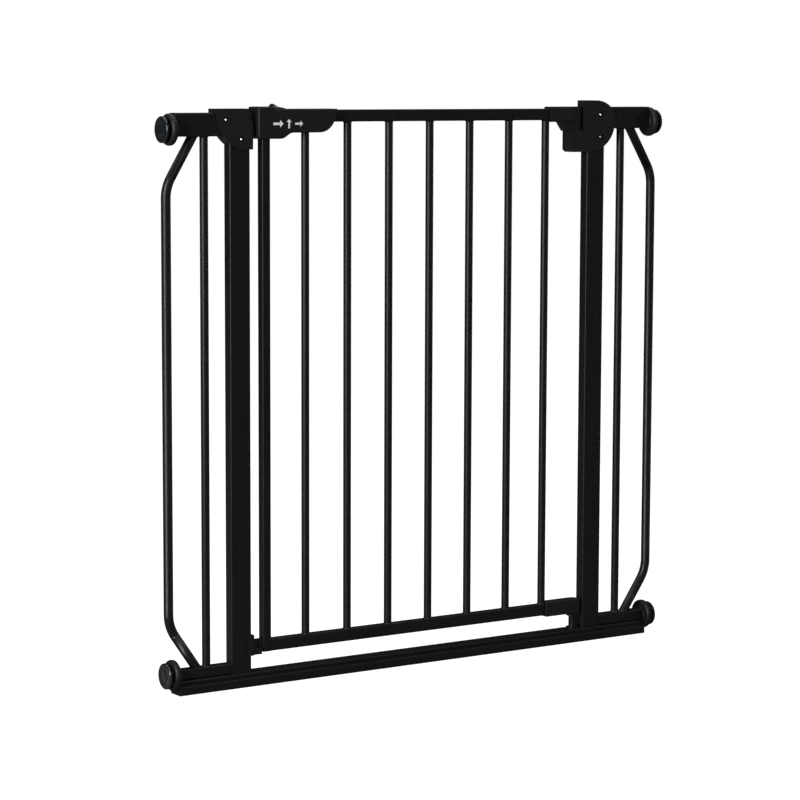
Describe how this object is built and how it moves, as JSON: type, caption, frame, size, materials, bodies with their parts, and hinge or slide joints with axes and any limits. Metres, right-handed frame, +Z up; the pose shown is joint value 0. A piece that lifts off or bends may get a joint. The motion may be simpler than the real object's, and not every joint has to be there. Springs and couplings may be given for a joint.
{
  "type": "safety baby gate",
  "caption": "Black pressure-fit baby gate with a barred swing door, thumb-release handle, floor bar, bent side bars and screw-out wall pads at its corners.",
  "frame": {"origin": "middle of the floor bar's underside, in the plane of the gate", "axes": "+X along the gate towards the hinge side, +Y from the front to the back, +Z up"},
  "size_m": [0.792, 0.0406, 0.761],
  "materials": {
    "powder_coated_steel": "satin black powder coat",
    "black_plastic": "fine-grained matt black",
    "button_plastic": "smooth black",
    "zinc_plated_steel": "bright zinc plate",
    "pad_rubber": "dark grey, slightly glossy"
  },
  "bodies": {
    "frame": {"base_bar": "powder_coated_steel", "post_left": "powder_coated_steel", "post_right": "powder_coated_steel", "upper_arm_left": "powder_coated_steel", "upper_arm_right": "powder_coated_steel", "lower_arm_left": "powder_coated_steel", "lower_arm_right": "powder_coated_steel", "side_bar_left": "powder_coated_steel", "side_bar_right": "powder_coated_steel", "bent_bar_left": "powder_coated_steel", "bent_bar_right": "powder_coated_steel", "lower_hinge_pin": "powder_coated_steel", "base_cap_left": "black_plastic", "base_cap_right": "black_plastic", "bush_upper_left": "black_plastic", "bush_upper_right": "black_plastic", "bush_lower_left": "black_plastic", "bush_lower_right": "black_plastic", "catch_front_shell": "black_plastic", "catch_back_shell": "black_plastic", "hinge_front_shell": "black_plastic", "hinge_back_shell": "black_plastic", "hinge_bush": "black_plastic", "lower_keeper": "black_plastic", "catch_screws": "zinc_plated_steel", "hinge_screws": "zinc_plated_steel", "keeper_screws": "zinc_plated_steel"},
    "door": {"door_stile": "powder_coated_steel", "top_rail": "powder_coated_steel", "bottom_rail": "powder_coated_steel", "door_bar_1": "powder_coated_steel", "door_bar_2": "powder_coated_steel", "door_bar_3": "powder_coated_steel", "door_bar_4": "powder_coated_steel", "door_bar_5": "powder_coated_steel", "door_bar_6": "powder_coated_steel", "door_bar_7": "powder_coated_steel", "handle_front_shell": "black_plastic", "handle_back_shell": "black_plastic", "top_hinge_sleeve": "black_plastic", "bottom_hinge_sleeve": "black_plastic", "keeper_peg": "black_plastic", "handle_screws": "zinc_plated_steel", "top_hinge_pin": "zinc_plated_steel", "bolt_spring": "zinc_plated_steel"},
    "release": {"release_button": "button_plastic", "latch_bolt": "black_plastic"},
    "washer": {"thrust_washer": "black_plastic"},
    "nut_body_upper_left": {"nut_upper_left": "black_plastic"},
    "spindle_body_upper_left": {"rod_upper_left": "zinc_plated_steel", "pad_upper_left": "pad_rubber"},
    "nut_body_upper_right": {"nut_upper_right": "black_plastic"},
    "spindle_body_upper_right": {"rod_upper_right": "zinc_plated_steel", "pad_upper_right": "pad_rubber"},
    "nut_body_lower_left": {"nut_lower_left": "black_plastic"},
    "spindle_body_lower_left": {"rod_lower_left": "zinc_plated_steel", "pad_lower_left": "pad_rubber"},
    "nut_body_lower_right": {"nut_lower_right": "black_plastic"},
    "spindle_body_lower_right": {"rod_lower_right": "zinc_plated_steel", "pad_lower_right": "pad_rubber"}
  },
  "joints": [
    {"name": "door_swing", "type": "hinge", "parent": "frame", "child": "washer", "pos_m": [0.259, 0, 0.0392], "axis": [0, 0, 1], "range_deg": [-90, 90]},
    {"name": "door_lift", "type": "slide", "parent": "washer", "child": "door", "axis": [0, 0, 1], "range_m": [0, 0.01]},
    {"name": "release_slide", "type": "slide", "parent": "door", "child": "release", "axis": [1, 0, 0], "range_m": [0, 0.008], "stiffness_N_per_m": 300, "springref_m": -0.004, "deforming": ["bolt_spring"]},
    {"name": "nut_turn_upper_left", "type": "hinge", "parent": "frame", "child": "nut_body_upper_left", "pos_m": [-0.3838, 0, 0.7255], "axis": [-1, 0, 0], "range_deg": [-5760, 0]},
    {"name": "spindle_out_upper_left", "type": "slide", "parent": "frame", "child": "spindle_body_upper_left", "axis": [-1, 0, 0], "range_m": [0, 0.04]},
    {"name": "nut_turn_upper_right", "type": "hinge", "parent": "frame", "child": "nut_body_upper_right", "pos_m": [0.3838, 0, 0.731], "axis": [1, 0, 0], "range_deg": [-5760, 0]},
    {"name": "spindle_out_upper_right", "type": "slide", "parent": "frame", "child": "spindle_body_upper_right", "axis": [1, 0, 0], "range_m": [0, 0.04]},
    {"name": "nut_turn_lower_left", "type": "hinge", "parent": "frame", "child": "nut_body_lower_left", "pos_m": [-0.3838, 0, 0.026], "axis": [-1, 0, 0], "range_deg": [-5760, 0]},
    {"name": "spindle_out_lower_left", "type": "slide", "parent": "frame", "child": "spindle_body_lower_left", "axis": [-1, 0, 0], "range_m": [0, 0.04]},
    {"name": "nut_turn_lower_right", "type": "hinge", "parent": "frame", "child": "nut_body_lower_right", "pos_m": [0.3838, 0, 0.026], "axis": [1, 0, 0], "range_deg": [-5760, 0]},
    {"name": "spindle_out_lower_right", "type": "slide", "parent": "frame", "child": "spindle_body_lower_right", "axis": [1, 0, 0], "range_m": [0, 0.04]}
  ],
  "couplings": [
    {"joint": "spindle_out_upper_left", "follows": "nut_turn_upper_left", "m_per_rad": -0.00039789},
    {"joint": "spindle_out_upper_right", "follows": "nut_turn_upper_right", "m_per_rad": -0.00039789},
    {"joint": "spindle_out_lower_left", "follows": "nut_turn_lower_left", "m_per_rad": -0.00039789},
    {"joint": "spindle_out_lower_right", "follows": "nut_turn_lower_right", "m_per_rad": -0.00039789}
  ]
}
